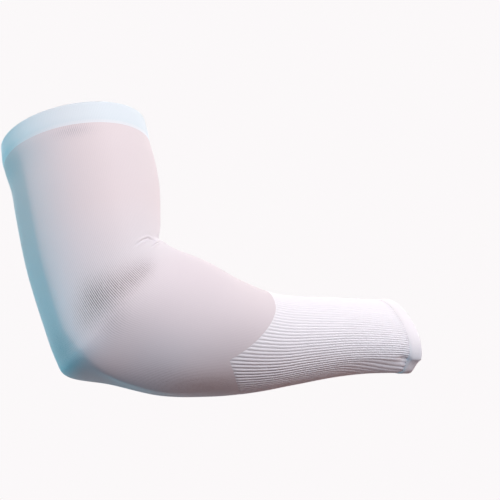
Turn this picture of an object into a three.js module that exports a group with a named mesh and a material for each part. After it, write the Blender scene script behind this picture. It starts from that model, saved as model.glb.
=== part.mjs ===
// Sun protection arm sleeve in the form it has when worn, bent about a right angle at the elbow.
// Millimetres, +Z up. The origin is the centre of the upper opening and +Z leaves that opening.
// +X is the way the wrist end points, -Y is the outer side of the sleeve.
import * as THREE from 'three';
import { LoftGeometry } from 'three/addons/geometries/LoftGeometry.js';

// Driving sizes
const BAND_WIDTH = 20;
const BAND_WALL = 1.7;
const TUBE_WALL = 1.0;
const RIB_WALL = 1.4;
const HEM_WIDTH = 11;
const HEM_WALL = 1.7;
const SEAM_GAP = 0.4;
const FACETS_ROUND = 40;
const RING_STEP = 9;

// Sections from the upper opening to the wrist opening, a row for each.
// along: distance down the sleeve's middle. front and back: the section's two ends in the bend plane,
// front on the crook side, back on the elbow side. deep: half depth across that plane.
// square: 2 is an ellipse and more is boxier. roll: degrees that the shape turns about its middle,
// while the lines down the sleeve stay straight.
const SECTIONS = [
  { along: 0, frontX: 54, frontZ: 0, backX: -54, backZ: 0, deep: 53, square: 2, roll: 0 },
  { along: 20, frontX: 55, frontZ: -20, backX: -55, backZ: -20, deep: 54, square: 2, roll: 0 },
  { along: 38, frontX: 55.5, frontZ: -38, backX: -52.5, backZ: -38, deep: 55, square: 2, roll: 0 },
  { along: 60, frontX: 54.5, frontZ: -60, backX: -52, backZ: -62, deep: 55, square: 2, roll: 0 },
  { along: 95, frontX: 50, frontZ: -85, backX: -51.5, backZ: -105, deep: 54, square: 2, roll: 0 },
  { along: 120, frontX: 47, frontZ: -96, backX: -47, backZ: -145, deep: 52, square: 2, roll: 0 },
  { along: 145, frontX: 52, frontZ: -101, backX: -41, backZ: -177, deep: 50, square: 2, roll: 0 },
  { along: 165, frontX: 60, frontZ: -105, backX: -31, backZ: -193, deep: 50, square: 2, roll: 0 },
  { along: 185, frontX: 71, frontZ: -110, backX: -2, backZ: -200, deep: 50, square: 2, roll: 0 },
  { along: 205, frontX: 84, frontZ: -117, backX: 36, backZ: -210, deep: 49, square: 2, roll: 0 },
  { along: 230, frontX: 104, frontZ: -130, backX: 74, backZ: -213.5, deep: 45, square: 2, roll: -5 },
  { along: 260, frontX: 129, frontZ: -140, backX: 112, backZ: -212.5, deep: 38, square: 2, roll: -10 },
  { along: 290, frontX: 153, frontZ: -144, backX: 146, backZ: -208.5, deep: 33, square: 2.1, roll: -16 },
  { along: 325, frontX: 188, frontZ: -145, backX: 184, backZ: -205, deep: 28, square: 2.2, roll: -24 },
  { along: 365, frontX: 225, frontZ: -144, backX: 226, backZ: -206, deep: 24, square: 2.3, roll: -30 },
  { along: 385, frontX: 245, frontZ: -143, backX: 245, backZ: -209, deep: 23, square: 2.3, roll: -30 },
];

// Dents and ridges on top of the sections: where each lies, how far it reaches and how high it stands.
// Angles run in degrees from the crook side (0) over the outer side (90) to the elbow side (180).
const FOLDS = [
  { name: 'crook crease', along: 122, angle: 30, reach: 7, spread: 34, height: -2.2 },
  { name: 'elbow bulge', along: 147, angle: 114, reach: 15, spread: 13, height: 1.5 },
  { name: 'wrist edge', along: 356, angle: 146, reach: 24, spread: 9, height: 1.8 },
];

// The ribs begin on a line round the lower sleeve that dips in one point towards the elbow
const RIB_LINE = { along: 254, dip: 28.5, angle: 135, frontReach: 67, backReach: 95, sharpness: 1.7 };

const COLUMNS = Object.keys(SECTIONS[0]);
const SLEEVE_LENGTH = SECTIONS[SECTIONS.length - 1].along;

// Angle between two directions, from -180 to 180 degrees
function turn(angle, from) {
  return THREE.MathUtils.euclideanModulo(angle - from + 180, 360) - 180;
}

// Slope of a column at a row, from the rows on either side of it
function slope(row, column) {
  const before = SECTIONS[Math.max(row - 1, 0)];
  const after = SECTIONS[Math.min(row + 1, SECTIONS.length - 1)];
  return (after[column] - before[column]) / (after.along - before.along);
}

// The section at any distance down the sleeve: a smooth cubic through each column
function sectionAt(along) {
  const next = SECTIONS.findIndex((section) => section.along >= along);
  const row = Math.max(next - 1, 0);
  const start = SECTIONS[row];
  const end = SECTIONS[row + 1];
  const span = end.along - start.along;
  const t = (along - start.along) / span;
  const section = {};
  for (const column of COLUMNS) {
    const fromStart = start[column] * (1 + 2 * t) + span * t * slope(row, column);
    const fromEnd = end[column] * (3 - 2 * t) + span * (t - 1) * slope(row + 1, column);
    section[column] = fromStart * (1 - t) ** 2 + fromEnd * t ** 2;
  }
  return section;
}

function foldHeight(along, angle) {
  let height = 0;
  for (const fold of FOLDS) {
    const lengthwise = (along - fold.along) / fold.reach;
    const round = turn(angle, fold.angle) / fold.spread;
    height += fold.height * Math.exp(-(lengthwise ** 2) - round ** 2);
  }
  return height;
}

// Power of a sine or cosine that keeps its sign, for the rounded-box sections
function signedPower(value, power) {
  return Math.sign(value) * Math.abs(value) ** power;
}

// A point of the sleeve, out millimetres outside its inner face
function sleevePoint(along, angle, out) {
  const section = sectionAt(along);
  const front = new THREE.Vector3(section.frontX, 0, section.frontZ);
  const back = new THREE.Vector3(section.backX, 0, section.backZ);
  const middle = front.clone().add(back).multiplyScalar(0.5);
  const half = front.distanceTo(back) / 2;
  const forward = front.sub(back).normalize();
  const outward = new THREE.Vector3(0, -1, 0);
  const theta = THREE.MathUtils.degToRad(angle - section.roll);
  const offset = new THREE.Vector2(
    half * signedPower(Math.cos(theta), 2 / section.square),
    section.deep * signedPower(Math.sin(theta), 2 / section.square),
  );
  offset.rotateAround(new THREE.Vector2(), THREE.MathUtils.degToRad(section.roll));
  offset.setLength(offset.length() + foldHeight(along, angle) + out);
  return middle.addScaledVector(forward, offset.x).addScaledVector(outward, offset.y);
}

function ribLine(angle) {
  const away = turn(angle, RIB_LINE.angle);
  const reach = away < 0 ? RIB_LINE.frontReach : RIB_LINE.backReach;
  const near = Math.max(1 - Math.abs(away) / reach, 0);
  return RIB_LINE.along - RIB_LINE.dip * near ** RIB_LINE.sharpness;
}

// A knitted wall between two lines round the sleeve, closed from outer face over both edges to inner face
function knittedWall(startLine, endLine, thickness) {
  const angles = [];
  for (let facet = 0; facet < FACETS_ROUND; facet += 1) {
    angles.push(RIB_LINE.angle + (facet * 360) / FACETS_ROUND);
  }
  const longest = Math.max(...angles.map((angle) => endLine(angle) - startLine(angle)));
  const steps = Math.ceil(longest / RING_STEP);
  const ring = (step, out) => angles.map((angle) => {
    const along = THREE.MathUtils.lerp(startLine(angle), endLine(angle), step / steps);
    return sleevePoint(along, angle, out);
  });
  const rings = [];
  for (let step = 0; step <= steps; step += 1) {
    rings.push(ring(step, thickness));
  }
  for (let step = steps; step >= 0; step -= 1) {
    rings.push(ring(step, 0));
  }
  rings.push(rings[0]);
  return new LoftGeometry(rings);
}

function piece(name, geometry, color, roughness) {
  const material = new THREE.MeshStandardMaterial({ color, roughness, metalness: 0 });
  const mesh = new THREE.Mesh(geometry, material);
  mesh.name = name;
  return mesh;
}

// Seams between the four knitted pieces
const bandSeam = BAND_WIDTH;
const hemSeam = SLEEVE_LENGTH - HEM_WIDTH;
const halfGap = SEAM_GAP / 2;

const upperBand = knittedWall(() => 0, () => bandSeam - halfGap, BAND_WALL);
const armTube = knittedWall(() => bandSeam + halfGap, (angle) => ribLine(angle) - halfGap, TUBE_WALL);
const wristRib = knittedWall((angle) => ribLine(angle) + halfGap, () => hemSeam - halfGap, RIB_WALL);
const wristHem = knittedWall(() => hemSeam + halfGap, () => SLEEVE_LENGTH, HEM_WALL);

const sleeve = new THREE.Group();
sleeve.add(piece('upper_band', upperBand, 0xe6eff4, 0.8));
sleeve.add(piece('arm_tube', armTube, 0xe4dfe4, 0.9));
sleeve.add(piece('wrist_rib', wristRib, 0xe9e7ee, 0.9));
sleeve.add(piece('wrist_hem', wristHem, 0xf3f3f8, 0.85));

export default sleeve;
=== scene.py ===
# White knitted sun sleeve in its worn form: smooth upper band, plain tube, ribbed wrist part and end hem
import math

import bpy
import numpy as np
from mathutils import Matrix, Vector


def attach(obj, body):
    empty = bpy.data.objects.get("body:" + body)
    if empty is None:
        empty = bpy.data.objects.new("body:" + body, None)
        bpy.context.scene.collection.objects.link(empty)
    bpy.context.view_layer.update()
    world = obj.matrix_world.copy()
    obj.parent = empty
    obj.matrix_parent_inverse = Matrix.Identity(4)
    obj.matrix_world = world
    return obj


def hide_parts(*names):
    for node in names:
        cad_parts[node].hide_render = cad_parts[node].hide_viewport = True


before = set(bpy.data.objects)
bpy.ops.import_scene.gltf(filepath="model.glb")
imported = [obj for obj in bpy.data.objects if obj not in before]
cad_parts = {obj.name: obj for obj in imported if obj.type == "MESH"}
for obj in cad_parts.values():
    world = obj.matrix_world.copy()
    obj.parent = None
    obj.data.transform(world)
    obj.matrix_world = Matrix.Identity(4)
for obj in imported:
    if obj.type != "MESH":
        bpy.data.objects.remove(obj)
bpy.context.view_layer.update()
print("frame loaded:", ", ".join(sorted(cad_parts)))

# Worn form, millimetres and degrees. Angles run from the crook side (0) over the outer side (90)
# to the elbow side (180), and along is the distance down the sleeve's middle.
form = {
    "length": 385.0,
    "bandEnd": 20.0,
    "hemStart": 374.0,
    "columns": ("along", "frontX", "frontZ", "backX", "backZ", "deep", "square", "roll"),
    "sections": (
        (0, 54, -0.5, -54, -3.5, 53, 2, 0),
        (20, 55, -20, -55, -20, 54, 2, 0),
        (38, 55.5, -38, -52.5, -38, 55, 2, 0),
        (60, 54.5, -60, -52, -62, 55, 2, 0),
        (95, 50, -85, -50.2, -105, 54, 2, 0),
        (120, 47, -96, -45.8, -145, 52, 2, 0),
        (145, 52, -101, -41.2, -177, 50, 2, 0),
        (165, 60, -105, -33.5, -191.3, 50, 2, 0),
        (185, 71, -110, -2, -198.8, 50, 2, 0),
        (205, 84, -117, 36, -210, 49, 2, 0),
        (230, 104, -130, 74, -213.5, 45, 2, -5),
        (260, 129, -140, 112, -212.5, 38, 2, -10),
        (290, 153, -144, 146, -208.5, 33, 2.1, -16),
        (325, 188, -145, 184, -205, 28, 2.2, -24),
        (365, 225, -144, 226, -206, 23.2, 2.3, -30),
        (385, 245, -143, 245, -209, 21, 2.3, -30),
    ),
    # along, angle, reach, spread, height
    "folds": (
        (122, 30, 7, 34, -2.2),  # crease at the crook
        (147, 114, 15, 13, 1.5),  # bulge at the elbow
        (374, 192, 18, 22, 1.3),  # fullness under the wrist
        (372, 168, 26, 16, 2.3),
        (371, 145, 4.5, 5, -2),  # pucker beside the hem
    ),
    # along, angle, height, spread before the crest, spread behind it
    "elbowRidge": (
        (10, 163, 0, 12, 9), (60, 162, 1.7, 16, 9), (100, 162.5, 2.4, 20, 10), (115, 162, 2.8, 23, 11),
        (126, 160.5, 3.2, 26, 12), (136, 158.7, 3.6, 28, 13), (147, 153.2, 4.2, 31, 16),
        (158, 149.4, 4.8, 33, 18), (166, 152.2, 5.2, 33, 16), (172, 157.3, 5.3, 31, 13),
        (178, 163.5, 5.5, 28, 11), (186, 170.5, 5.3, 27, 9), (196, 175, 4, 27, 9),
        (206, 176, 2.4, 28, 9), (216, 175, 1, 28, 9), (230, 175, 0, 28, 9),
    ),
    "wristRidge": (
        (295, 144, 0, 16, 9), (320, 143, 0.6, 22, 8), (345, 144, 1.1, 26, 8), (365, 145, 1.7, 30, 8),
        (385, 140, 3.2, 36, 7),
    ),
    "ridgeRound": 0.1,  # rounding of a ridge's crest, as a share of its spread
    "ridgePower": 1.35,
    # the ribs begin here, and one point dips towards the elbow
    "ribLine": {
        "along": 254, "dip": 28.5, "angle": 135, "frontReach": 67, "backReach": 95, "sharpness": 1.7,
    },
    "heldShare": 0.04,  # distance of the second row from an end, as a share of a row
    "weldDistance": 1e-7,  # metres
}


def awayFrom(angle, middle):
    return (angle - middle + 180) % 360 - 180


def bell(distance):
    return np.exp(-distance ** 2)


def column(name, along):  # smooth cubic through one column of the sections
    table = np.array(form["sections"], float)
    places = table[:, 0]
    values = table[:, form["columns"].index(name)]
    count = len(places)
    before = np.maximum(np.arange(count) - 1, 0)
    after = np.minimum(np.arange(count) + 1, count - 1)
    slope = (values[after] - values[before]) / (places[after] - places[before])
    first = np.clip(np.searchsorted(places, along, side="right") - 1, 0, count - 2)
    second = first + 1
    span = places[second] - places[first]
    part = (along - places[first]) / span
    start = values[first] * (1 + 2 * part) + span * part * slope[first]
    end = values[second] * (3 - 2 * part) + span * (part - 1) * slope[second]
    return start * (1 - part) ** 2 + end * part ** 2


def ribLine(angle):
    line = form["ribLine"]
    away = awayFrom(angle, line["angle"])
    reach = np.where(away < 0, line["frontReach"], line["backReach"])
    near = np.maximum(1 - np.abs(away) / reach, 0)
    return line["along"] - line["dip"] * near ** line["sharpness"]


def foldHeight(along, angle):
    total = 0
    for foldAlong, foldAngle, reach, spread, height in form["folds"]:
        total = total + height * bell((along - foldAlong) / reach) * bell(awayFrom(angle, foldAngle) / spread)
    return total


def ridgeHeight(along, angle, ridge):
    rows = np.array(ridge, float).T
    crestAngle, crest, before, behind = (np.interp(along, rows[0], row) for row in rows[1:])
    away = awayFrom(angle, crestAngle)
    share = np.hypot(away / np.where(away < 0, before, behind), form["ridgeRound"]) - form["ridgeRound"]
    return crest * np.exp(-np.maximum(share, 0) ** form["ridgePower"])


def sleevePoints(along, angle, out):  # metres, out millimetres outside the inner face
    frontX, frontZ = column("frontX", along), column("frontZ", along)
    backX, backZ = column("backX", along), column("backZ", along)
    half = np.hypot(frontX - backX, frontZ - backZ) / 2
    power = 2 / column("square", along)
    roll = np.radians(column("roll", along))
    theta = np.radians(angle) - roll
    across = half * np.sign(np.cos(theta)) * np.abs(np.cos(theta)) ** power
    deep = column("deep", along) * np.sign(np.sin(theta)) * np.abs(np.sin(theta)) ** power
    across, deep = across * np.cos(roll) - deep * np.sin(roll), across * np.sin(roll) + deep * np.cos(roll)
    out = out + foldHeight(along, angle)
    for ridge in (form["elbowRidge"], form["wristRidge"]):
        out = out + ridgeHeight(along, angle, ridge)
    grow = 1 + out / np.hypot(across, deep)
    x = (frontX + backX) / 2 + across * grow * (frontX - backX) / 2 / half
    z = (frontZ + backZ) / 2 + across * grow * (frontZ - backZ) / 2 / half
    return np.stack([x, -deep * grow, z], -1) / 1000


def heldEnds(rows):  # the rows next to the ends move close to them, which keeps the edges crisp
    held = rows.copy()
    held[1] = rows[0] + (rows[1] - rows[0]) * form["heldShare"]
    held[-2] = rows[-1] + (rows[-2] - rows[-1]) * form["heldShare"]
    return held


# Wraps a flat grid round the sleeve: columns run round it, rows run down the outer face and back up inside
def wrapGrid(name, around, rows, place):
    bpy.ops.object.select_all(action="DESELECT")
    bpy.ops.mesh.primitive_grid_add(x_subdivisions=around, y_subdivisions=rows, size=1, calc_uvs=True)
    piece = bpy.context.object
    piece.name = piece.data.name = name
    mesh = piece.data
    flat = np.empty(len(mesh.vertices) * 3)
    mesh.vertices.foreach_get("co", flat)
    flat = flat.reshape(-1, 3) + 0.5  # the grid's corner to 0
    columnOf = np.rint(flat[:, 0] * around).astype(int)
    rowOf = np.rint(flat[:, 1] * rows).astype(int) % rows
    wale, angle, along, out = place(columnOf, rowOf)
    mesh.vertices.foreach_set("co", sleevePoints(along, angle, out).ravel())
    corners = np.empty(len(mesh.loops), int)
    mesh.loops.foreach_get("vertex_index", corners)
    knitMap = mesh.uv_layers[0]
    knitMap.name = "knit"
    spots = np.stack([wale / 360, along / form["length"]], -1)
    knitMap.uv.foreach_set("vector", spots[corners].ravel())
    mesh.update()
    bpy.ops.object.mode_set(mode="EDIT")
    bpy.ops.mesh.select_all(action="SELECT")
    bpy.ops.mesh.remove_doubles(threshold=form["weldDistance"])
    bpy.ops.object.mode_set(mode="OBJECT")
    bpy.ops.object.shade_smooth()
    print(name, "made with", len(mesh.polygons), "faces")
    return piece


def settle(piece, node, finish):
    piece.data.materials.clear()
    piece.data.materials.append(finish)
    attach(piece, "root")
    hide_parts(node)


# Shader values with arithmetic
class Value:
    def __init__(self, finish, socket):
        self.finish = finish
        self.socket = socket

    def __add__(self, other):
        return self.finish.maths("ADD", self, other)

    def __radd__(self, other):
        return self.finish.maths("ADD", other, self)

    def __sub__(self, other):
        return self.finish.maths("SUBTRACT", self, other)

    def __rsub__(self, other):
        return self.finish.maths("SUBTRACT", other, self)

    def __mul__(self, other):
        return self.finish.maths("MULTIPLY", self, other)

    def __rmul__(self, other):
        return self.finish.maths("MULTIPLY", other, self)

    def __truediv__(self, other):
        return self.finish.maths("DIVIDE", self, other)

    def __rtruediv__(self, other):
        return self.finish.maths("DIVIDE", other, self)

    def __pow__(self, other):
        return self.finish.maths("POWER", self, other)

    def __rpow__(self, other):
        return self.finish.maths("POWER", other, self)


class Finish:
    def __init__(self, name, tree=None):
        self.material = None
        if tree is None:
            self.material = bpy.data.materials.new(name)
            self.material.use_nodes = True
            tree = self.material.node_tree
        tree.nodes.clear()
        self.tree = tree

    def node(self, kind, settings=None, sockets=None, output=0):
        made = self.tree.nodes.new(kind)
        for key, value in (settings or {}).items():
            if key == "stops":
                elements = made.color_ramp.elements
                for place, stop in enumerate(value):
                    element = elements[place] if place < len(elements) else elements.new(stop[0])
                    element.position, element.color = stop
            else:
                setattr(made, key, value)
        for key, value in (sockets or {}).items():
            if isinstance(value, Value):
                self.tree.links.new(value.socket, made.inputs[key])
            else:
                made.inputs[key].default_value = value
        return Value(self, made.outputs[output]) if made.outputs else made

    def maths(self, operation, *values):
        return self.node("ShaderNodeMath", {"operation": operation}, dict(enumerate(values)))

    def offMiddle(self, count):  # 0 in the middle of each whole step, 1 at its ends
        return self.maths("ABSOLUTE", self.maths("FRACT", count) - 0.5) * 2

    def fade(self, value, start, end, first, last):
        return self.node("ShaderNodeMapRange", None, {"Value": value, 1: start, 2: end, 3: first, 4: last})

    def mix(self, amount, start, end):
        return self.node("ShaderNodeMix", {"data_type": "RGBA"}, {0: amount, 6: start, 7: end}, 2)


# What all four knits share. Pairs are a least value and what the yarn adds to it.
knit = {
    "yarn": {"Scale": 700.0, "Detail": 2.0},
    "tone": {"Scale": 22.0, "Detail": 2.0},
    "slant": 0.7,  # lean of a loop's legs, in courses
    "loopShare": 0.15,  # part of a wale's height that its loops give
    "lines": (0.6, 0.8),
    "patches": (0.45, 1.1),
    "roughness": (0.82, 0.12),
    "fuzz": 0.35,
    "bumpDistance": 0.0003,
    "surface": {"Sheen Weight": 0.12, "Sheen Roughness": 0.45, "Specular IOR Level": 0.25},
}


def knitFinish(name, look, ribs=0):
    finish = Finish(name)
    spot = finish.node("ShaderNodeUVMap", {"uv_map": "knit"})
    around = finish.node("ShaderNodeSeparateXYZ", None, {0: spot}, 0)
    along = finish.node("ShaderNodeSeparateXYZ", None, {0: spot}, 1) * form["length"]
    inside = finish.node("ShaderNodeTexCoord", None, None, 3)

    # stocking stitch: each wale is a column of small slanted loops
    yarn = finish.node("ShaderNodeTexNoise", None, {"Vector": inside, **knit["yarn"]})
    side = finish.offMiddle(around * look["wales"] + yarn * look["waver"])
    slant = along / look["coursePitch"] + side * knit["slant"]
    loops = finish.maths("COSINE", slant * math.tau) * 0.5 + 0.5
    body = 1 - side ** 2
    height = body * (loops * knit["loopShare"] + (1 - knit["loopShare"]))
    gap = side ** look["gapPower"]

    # slow drifts of tone, then darker lines between the wales
    tone = finish.node("ShaderNodeTexNoise", None, {"Vector": inside, **knit["tone"]})
    stops = [(stopAlong / form["length"], shade) for stopAlong, shade in look["colours"]]
    colour = finish.node("ShaderNodeValToRGB", {"stops": stops}, {"Fac": along / form["length"]})
    colour = finish.mix(tone * look["drift"], colour, look["driftColour"])
    leastLine, yarnLine = knit["lines"]
    lines = gap * look["lineDepth"] * (leastLine + yarnLine * yarn)
    colour = finish.mix(lines, colour, look["lineColour"])

    # patches where the knit is stretched and its gaps open, and patches of painted shade, all painted into
    # the gaps between wales
    leastPatch, yarnPatch = knit["patches"]
    for patchAlong, patchAngle, reach, spread, depth, patchColour in look.get("stretchedAndPaintedShade", ()):
        lengthwise = (along - patchAlong) / reach
        crosswise = (around * 360 - patchAngle) / spread
        mask = math.e ** (0 - lengthwise * lengthwise - crosswise * crosswise)
        patchy = mask * (leastPatch + yarnPatch * yarn) * depth
        colour = finish.mix(finish.maths("MINIMUM", patchy * gap, 1.0), colour, patchColour)

    # shade in the grooves between ribs
    if ribs:
        groove = look["groove"]
        low = finish.offMiddle(around * ribs)
        sideways = finish.maths("ABSOLUTE", around * 360 - groove["angle"])
        deep = finish.fade(along, *groove["lengthwise"]) * finish.fade(sideways, *groove["sideways"])
        ending = finish.fade(along, *groove["ending"])
        colour = finish.mix(low ** groove["power"] * deep + low * ending, colour, groove["colour"])

    leastRough, yarnRough = knit["roughness"]
    rough = leastRough + yarnRough * yarn
    bump = finish.node("ShaderNodeBump", None, {
        "Strength": look["bump"], "Distance": knit["bumpDistance"], "Height": height + yarn * knit["fuzz"]})
    shader = finish.node("ShaderNodeBsdfPrincipled", None, {
        "Base Color": colour, "Roughness": rough, "Normal": bump, **knit["surface"]})
    finish.node("ShaderNodeOutputMaterial", None, {"Surface": shader})
    return finish.material


# Camera at the photograph's angle: metres and degrees, lens and sensor in millimetres
shot = {
    "place": (-0.439, -0.954, -0.532),
    "aim": (0.1085, -0.0355, -0.1154),
    "roll": 13.1,
    "lens": 110,
    "sensor": 36,
    "farthest": 50,
}
ahead = (Vector(shot["aim"]) - Vector(shot["place"])).normalized()
level = ahead.cross(Vector((0, 0, 1))).normalized()
lean = Matrix.Rotation(math.radians(shot["roll"]), 3, ahead)
toRight = lean @ level
toTop = toRight.cross(ahead)
cameraTurn = Matrix((toRight, toTop, -ahead)).transposed().to_euler()
bpy.ops.object.select_all(action="DESELECT")
bpy.ops.object.camera_add(location=shot["place"], rotation=cameraTurn)
camera = bpy.context.object
camera.data.lens = shot["lens"]
camera.data.sensor_width = shot["sensor"]
camera.data.clip_end = shot["farthest"]
bpy.context.scene.camera = camera
print("camera placed")

# Upper band: doubled knit with a rounded top rim and a raised lower edge
band = {
    "around": 288,
    # a closed loop down the outside and up the inside: along, out
    "profile": (
        (1.0, 0.0), (0.3, 0.2), (0.0, 0.8), (0.25, 1.45), (0.9, 1.8), (2.2, 1.72), (5.0, 1.65),
        (9.0, 1.65), (13.0, 1.6), (15.0, 1.52), (16.6, 1.38), (18.0, 1.22), (19.2, 1.08), (19.95, 1.0),
        (20.0, 1.0), (20.0, 0.0), (19.95, 0.0), (10.0, 0.0),
    ),
    "flat": (0.25, 0.021),
    "look": {
        "wales": 288, "coursePitch": 0.8, "gapPower": 3.0, "waver": 0.6, "bump": 0.15,
        "colours": (
            (0, (0.768, 0.855, 0.904, 1)),
            (17, (0.768, 0.855, 0.904, 1)),
            # painted highlight: from 17 mm down to its lower edge the band is painted lighter
            (18.5, (0.85, 0.89, 0.93, 1)),
        ),
        "drift": 0.2, "driftColour": (0.83, 0.87, 0.9, 1),
        "lineDepth": 0.06, "lineColour": (0.6, 0.64, 0.68, 1),
    },
}


def bandPlace(columnOf, rowOf):
    angle = columnOf * 360 / band["around"]
    along, out = np.array(band["profile"])[rowOf].T
    return angle, angle, along, out


upperBand = wrapGrid("upperBand", band["around"], len(band["profile"]), bandPlace)
settle(upperBand, "upper_band", knitFinish("bandKnit", band["look"]))

# Arm tube: thin plain knit, creased where the elbow bends
tube = {
    "around": 288,
    "outerRows": 200,
    "innerRows": 60,
    "wall": 1.0,
    # rows crowd at the crook: along, reach, extra share of rows, usual length of the tube
    "crowding": (124, 13, 2.2, 228),
    "crowdingSteps": 2001,
    "crookMiddle": 60,  # creases are reckoned half a turn either way from here
    # sharp folds beside the crook: along and angle of the top, fall before and after it, ends, depth
    "brows": ((120.2, 69, 0.034, 0.006, 54, 78, 1.0), (132.5, 56, 0, 0, 49, 62, 0.5)),
    "browShape": ((0.8, -1.7, 1.2), (-1.3, 0, 1.1), (0.3, 2, 1.6)),  # height, offset, width
    "browFade": 2,
    # softer creases round the crook: along, sag, angle, spread, width, depth
    "creases": ((109, 2.25, -12, 30, 2.6, 0.7), (119, 2.5, 8, 26, 2.4, 0.9), (130, 2, -4, 28, 2.8, 0.8)),
    "creaseLip": (0.7, 1.6),  # height of the lip below a crease, and its distance in widths
    # slight unevenness of worn cloth: repeats round it, length of a wave, start
    "waves": ((3, 31, 0), (5, -17, 1.3)),
    "waveHeight": 0.22,
    "waveFade": 25,  # distance from a seam, where there is none
    # the knit turns a little round the elbow and back below it: turn, along, reach
    "skews": ((11.6, 140, 35), (-8, 168, 18)),
    "flat": (0.25, 0.235),
    "look": {
        "wales": 252, "coursePitch": 0.8, "gapPower": 1.6, "waver": 0.3, "bump": 0.1,
        "colours": (
            (80, (0.797, 0.72, 0.738, 1)),
            (122, (0.8, 0.765, 0.798, 1)),
            (180, (0.752, 0.698, 0.735, 1)),
            (235, (0.72, 0.66, 0.69, 1)),
        ),
        "drift": 0.2, "driftColour": (0.83, 0.76, 0.78, 1),
        "lineDepth": 0.06, "lineColour": (0.52, 0.47, 0.5, 1),
        # along, angle, reach, spread, depth, colour
        "stretchedAndPaintedShade": (
            # over the elbow, where the knit is stretched open: the dark in its gaps is painted shade, mixed
            # with the colour of skin showing through
            (136, 133.5, 13, 12, 1.15, (0.15, 0.165, 0.15, 1)),
            (140, 120, 12, 11, 0.9, (0.18, 0.17, 0.17, 1)),
            (144, 107, 11, 10, 0.8, (0.22, 0.18, 0.19, 1)),
            (147, 94, 11, 11, 0.7, (0.26, 0.21, 0.23, 1)),
            (140, 146, 10, 9, 0.6, (0.3, 0.3, 0.29, 1)),
            (140, 117, 28, 28, 0.3, (0.36, 0.33, 0.35, 1)),
            (161, 134, 10, 10, 0.5, (0.4, 0.36, 0.38, 1)),
            (155, 135, 14, 16, 0.3, (0.36, 0.33, 0.35, 1)),
            # below the band
            (25, 111, 5, 13, 0.65, (0.4, 0.4, 0.45, 1)),
            # soft shade at the elbow's point and on the underside before the ribs
            (146, 180, 22, 14, 0.8, (0.28, 0.4, 0.43, 1)),
            (217, 167, 27, 16, 0.9, (0.3, 0.22, 0.21, 1)),
        ),
    },
}


def tubeRows():  # even rows, closer together at the crook
    middle, reach, extra, usualLength = tube["crowding"]
    fine = np.linspace(0, 1, tube["crowdingSteps"])
    share = 1 + extra * bell((form["bandEnd"] + fine * usualLength - middle) / reach)
    spent = np.concatenate([[0], np.cumsum((share[1:] + share[:-1]) / 2)])
    outer = np.interp(np.linspace(0, 1, tube["outerRows"]), spent / spent[-1], fine)
    inner = np.linspace(1, 0, tube["innerRows"])
    return np.concatenate([heldEnds(outer), heldEnds(inner)])


def creaseHeight(along, angle):
    total = 0
    for top, middle, before, after, first, last, depth in tube["brows"]:
        off = angle - middle
        gap = along - top - before * np.minimum(off, 0) ** 2 - after * np.maximum(off, 0) ** 2
        begun = 1 + np.exp(first - angle) / tube["browFade"]
        ended = 1 + np.exp((angle - last) / tube["browFade"])
        shape = sum(height * bell((gap - offset) / width) for height, offset, width in tube["browShape"])
        total = total + depth / begun / ended * shape
    lip, lipOffset = tube["creaseLip"]
    for creaseAlong, sag, creaseAngle, spread, width, depth in tube["creases"]:
        away = awayFrom(angle, creaseAngle)
        gap = along - creaseAlong - sag * (away / spread) ** 2
        shape = lip * bell((gap - lipOffset * width) / width) - bell(gap / width)
        total = total + depth * bell(away / spread) * shape
    return total


def tubePlace(columnOf, rowOf):
    angle = columnOf * 360 / tube["around"]
    end = ribLine(angle)
    along = form["bandEnd"] + tubeRows()[rowOf] * (end - form["bandEnd"])
    uneven = tube["waveHeight"] * sum(
        np.sin(np.radians(times * angle) + along / length + start) for times, length, start in tube["waves"])
    toSeam = np.minimum(along - form["bandEnd"], end - along)
    wall = np.where(rowOf < tube["outerRows"], tube["wall"], 0)
    crookAngle = awayFrom(angle, tube["crookMiddle"]) + tube["crookMiddle"]
    out = wall + uneven * np.clip(toSeam / tube["waveFade"], 0, 1) + creaseHeight(along, crookAngle)
    wale = angle + sum(turn * np.tanh((along - middle) / reach) for turn, middle, reach in tube["skews"])
    return wale, angle, along, out


armTube = wrapGrid("armTube", tube["around"], tube["outerRows"] + tube["innerRows"], tubePlace)
settle(armTube, "arm_tube", knitFinish("plainKnit", tube["look"]))

# Wrist rib: round ribs that begin at the rib line and run into the hem
rib = {
    "count": 96,
    "shape": (0.0, 0.58, 0.93, 1.0, 0.93, 0.58),  # height over one rib, groove first
    "outerRows": 100,
    "innerRows": 24,
    "rowCurve": (0.45, 1.65, -1.1),  # rows crowd at the rib line: shares of a straight, square and cubic run
    "groove": 0.52,
    "crest": 1.03,
    # less stretched ribs on the lower side stand taller: share, angle, spread, where it ends and how slowly
    "swell": (0.9, 164, 30, 340, 70),
    "rise": 0.9,
    "dip": (0.2, 0.8),  # share and reach of the dip where the ribs meet the hem
    # ribs under the wrist bend away round it: angle, where the bend begins and how far each turns
    "bends": ((139, 345, 0), (144, 338, 5), (150, 328, 12), (157, 318, 19), (166, 308, 25), (345, 300, 0)),
    "bendLength": 34,
    "flat": (0.18, 0.14),
    "look": {
        "wales": 288, "coursePitch": 0.9, "gapPower": 2.0, "waver": 0.5, "bump": 0.06,
        "colours": ((226, (0.88, 0.87, 0.91, 1)), (374, (0.88, 0.87, 0.91, 1))),
        "drift": 0.5, "driftColour": (0.92, 0.91, 0.95, 1),
        "lineDepth": 0.04, "lineColour": (0.62, 0.6, 0.66, 1),
        # the shade fades between two places or angles: start, end, share at each
        "groove": {
            "colour": (0.36, 0.32, 0.36, 1), "power": 2.4, "angle": 168,
            "lengthwise": (250, 330, 0.6, 0.09),
            "sideways": (12, 60, 1.7, 0.25),
            "ending": (371, 373.5, 0, 0.26),
        },
    },
}


def ribRows():
    share = np.linspace(0, 1, rib["outerRows"])
    outer = sum(part * share ** power for power, part in enumerate(rib["rowCurve"], 1))
    return np.concatenate([heldEnds(outer), heldEnds(np.linspace(1, 0, rib["innerRows"]))])


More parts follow.
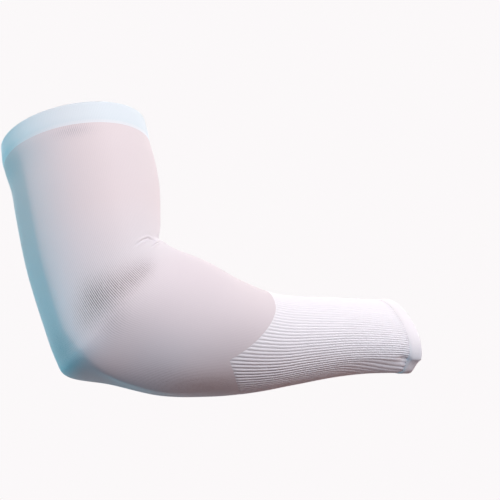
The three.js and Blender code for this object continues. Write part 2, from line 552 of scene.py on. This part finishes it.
def ribPlace(columnOf, rowOf):
    perRib = len(rib["shape"])
    wale = columnOf * 360 / (rib["count"] * perRib)
    start = ribLine(wale)
    along = start + ribRows()[rowOf] * (form["hemStart"] - start)
    bendAngle, bendStart, bendTurn = np.array(rib["bends"], float).T
    bent = np.maximum(along - np.interp(wale, bendAngle, bendStart), 0) / rib["bendLength"]
    turned = np.interp(wale, bendAngle, bendTurn) * (1 - bell(bent))
    most, swellAngle, spread, swellEnd, swellFade = rib["swell"]
    swell = most * bell(awayFrom(wale, swellAngle) / spread) * np.clip((swellEnd - along) / swellFade, 0, 1)
    height = (rib["crest"] - rib["groove"]) * (1 + swell) * np.array(rib["shape"])[columnOf % perRib]
    grown = 1 - bell((along - start) / rib["rise"])
    wall = tube["wall"] + (rib["groove"] + height - tube["wall"]) * grown
    dip, dipReach = rib["dip"]
    outer = wall * (1 - dip * bell((form["hemStart"] - along) / dipReach))
    return wale, wale + turned, along, np.where(rowOf < rib["outerRows"], outer, 0)


ribColumns = rib["count"] * len(rib["shape"])
wristRib = wrapGrid("wristRib", ribColumns, rib["outerRows"] + rib["innerRows"], ribPlace)
settle(wristRib, "wrist_rib", knitFinish("ribKnit", rib["look"], rib["count"]))

# Wrist hem: smooth turned edge with a rounded end
hem = {
    "around": 288,
    # a closed loop, as the band's: along, out
    "profile": (
        (374.05, 0.0), (374.0, 0.0), (374.0, 1.05), (374.05, 1.07), (374.8, 1.35), (376.2, 1.62),
        (377.6, 1.68), (379.5, 1.65), (382.0, 1.68), (384.0, 1.72), (384.7, 1.6), (385.0, 1.15),
        (384.8, 0.35), (384.0, 0.0), (379.0, 0.0),
    ),
    "pull": (2.4, 168, 20),  # the end is drawn back under the wrist: how far, angle, spread
    "flat": (0.16, 0.0115),
    "look": {
        "wales": 288, "coursePitch": 0.8, "gapPower": 3.0, "waver": 0.6, "bump": 0.12,
        "colours": ((374, (0.885, 0.87, 0.905, 1)), (385, (0.885, 0.87, 0.905, 1))),
        "drift": 0.2, "driftColour": (0.92, 0.93, 0.96, 1),
        "lineDepth": 0.05, "lineColour": (0.65, 0.66, 0.7, 1),
    },
}


def hemPlace(columnOf, rowOf):
    angle = columnOf * 360 / hem["around"]
    along, out = np.array(hem["profile"])[rowOf].T
    pull, pullAngle, spread = hem["pull"]
    down = (along - form["hemStart"]) / (form["length"] - form["hemStart"])
    along = along - pull * bell(awayFrom(angle, pullAngle) / spread) * np.clip(down, 0, 1)
    return angle, angle, along, out


wristHem = wrapGrid("wristHem", hem["around"], len(hem["profile"]), hemPlace)
settle(wristHem, "wrist_hem", knitFinish("hemKnit", hem["look"]))

print("sleeve pieces made")

# Soft studio lamps: turn and rise seen from the camera (0 behind it, 90 to its right), and light, which is
# what a white face turned to the lamp shows
lamps = {
    "keyLamp": {"turn": 32, "rise": 32, "light": (0.776, 0.781, 0.821)},
    "topLamp": {"turn": 300, "rise": 50, "light": (0.374, 0.303, 0.292)},
    "sideLamp": {"turn": 112, "rise": 26, "light": (0.36, 0.34, 0.325)},
    "edgeLamp": {"turn": 265, "rise": -14, "light": (0.033, 0.24, 0.277)},
    "heelLamp": {"turn": 300, "rise": -28, "light": (0.02, 0.132, 0.208)},
    "lowLamp": {"turn": 160, "rise": -76, "light": (0.12, 0.03, 0.003)},
    "underLamp": {"turn": 75, "rise": -20, "light": (0.105, 0.07, 0.073)},
    "backLamp": {"turn": 208, "rise": 20, "light": (0.72, 0.66, 0.65)},
    "rearLamp": {"turn": 160, "rise": 25, "light": (0.45, 0.45, 0.45)},
}
lampRig = {"aim": (0.09, 0, -0.12), "distance": 1.7, "size": 0.8}
for name, lamp in lamps.items():
    turn, rise = math.radians(lamp["turn"]), math.radians(lamp["rise"])
    flatWay = toRight * math.sin(turn) - ahead * math.cos(turn)
    way = flatWay * math.cos(rise) + toTop * math.sin(rise)
    facing = way.to_track_quat("Z", "Y").to_euler()
    lampPlace = Vector(lampRig["aim"]) + way * lampRig["distance"]
    bpy.ops.object.light_add(type="AREA", location=lampPlace, rotation=facing)
    made = bpy.context.object
    made.name = made.data.name = name
    made.data.size = lampRig["size"]
    brightest = max(lamp["light"])
    made.data.color = [part / brightest for part in lamp["light"]]
    made.data.energy = brightest * (math.pi * lampRig["distance"]) ** 2
    made.visible_camera = False
print("lamps set")

# Pale floor well below the sleeve, and a pale surround
ground = {"height": -1.1, "size": 30, "colour": (0.86, 0.85, 0.855, 1), "roughness": 0.9, "glow": 0.7}
bpy.ops.object.select_all(action="DESELECT")
bpy.ops.mesh.primitive_plane_add(size=ground["size"], location=(0, 0, ground["height"]))
floor = bpy.context.object
floor.name = floor.data.name = "floor"
paint = Finish("paleFloor")
coat = paint.node("ShaderNodeBsdfPrincipled", None, {
    "Base Color": ground["colour"], "Roughness": ground["roughness"],
    "Emission Color": ground["colour"], "Emission Strength": ground["glow"]})
paint.node("ShaderNodeOutputMaterial", None, {"Surface": coat})
floor.data.materials.append(paint.material)
floor.visible_diffuse = False
floor.visible_shadow = False

surround = {"backdrop": (0.965, 0.94, 0.948, 1), "ambient": (0.035, 0.03, 0.028, 1)}
world = bpy.data.worlds.new("studio")
world.use_nodes = True
bpy.context.scene.world = world
sky = Finish("studio", world.node_tree)
seen = sky.node("ShaderNodeLightPath", None, None, 0)
ambient = sky.node("ShaderNodeBackground", None, {"Color": surround["ambient"]})
backdrop = sky.node("ShaderNodeBackground", None, {"Color": surround["backdrop"]})
both = sky.node("ShaderNodeMixShader", None, {0: seen, 1: ambient, 2: backdrop})
sky.node("ShaderNodeOutputWorld", None, {"Surface": both})
bpy.context.scene.view_settings.view_transform = "Standard"
print("stage set")
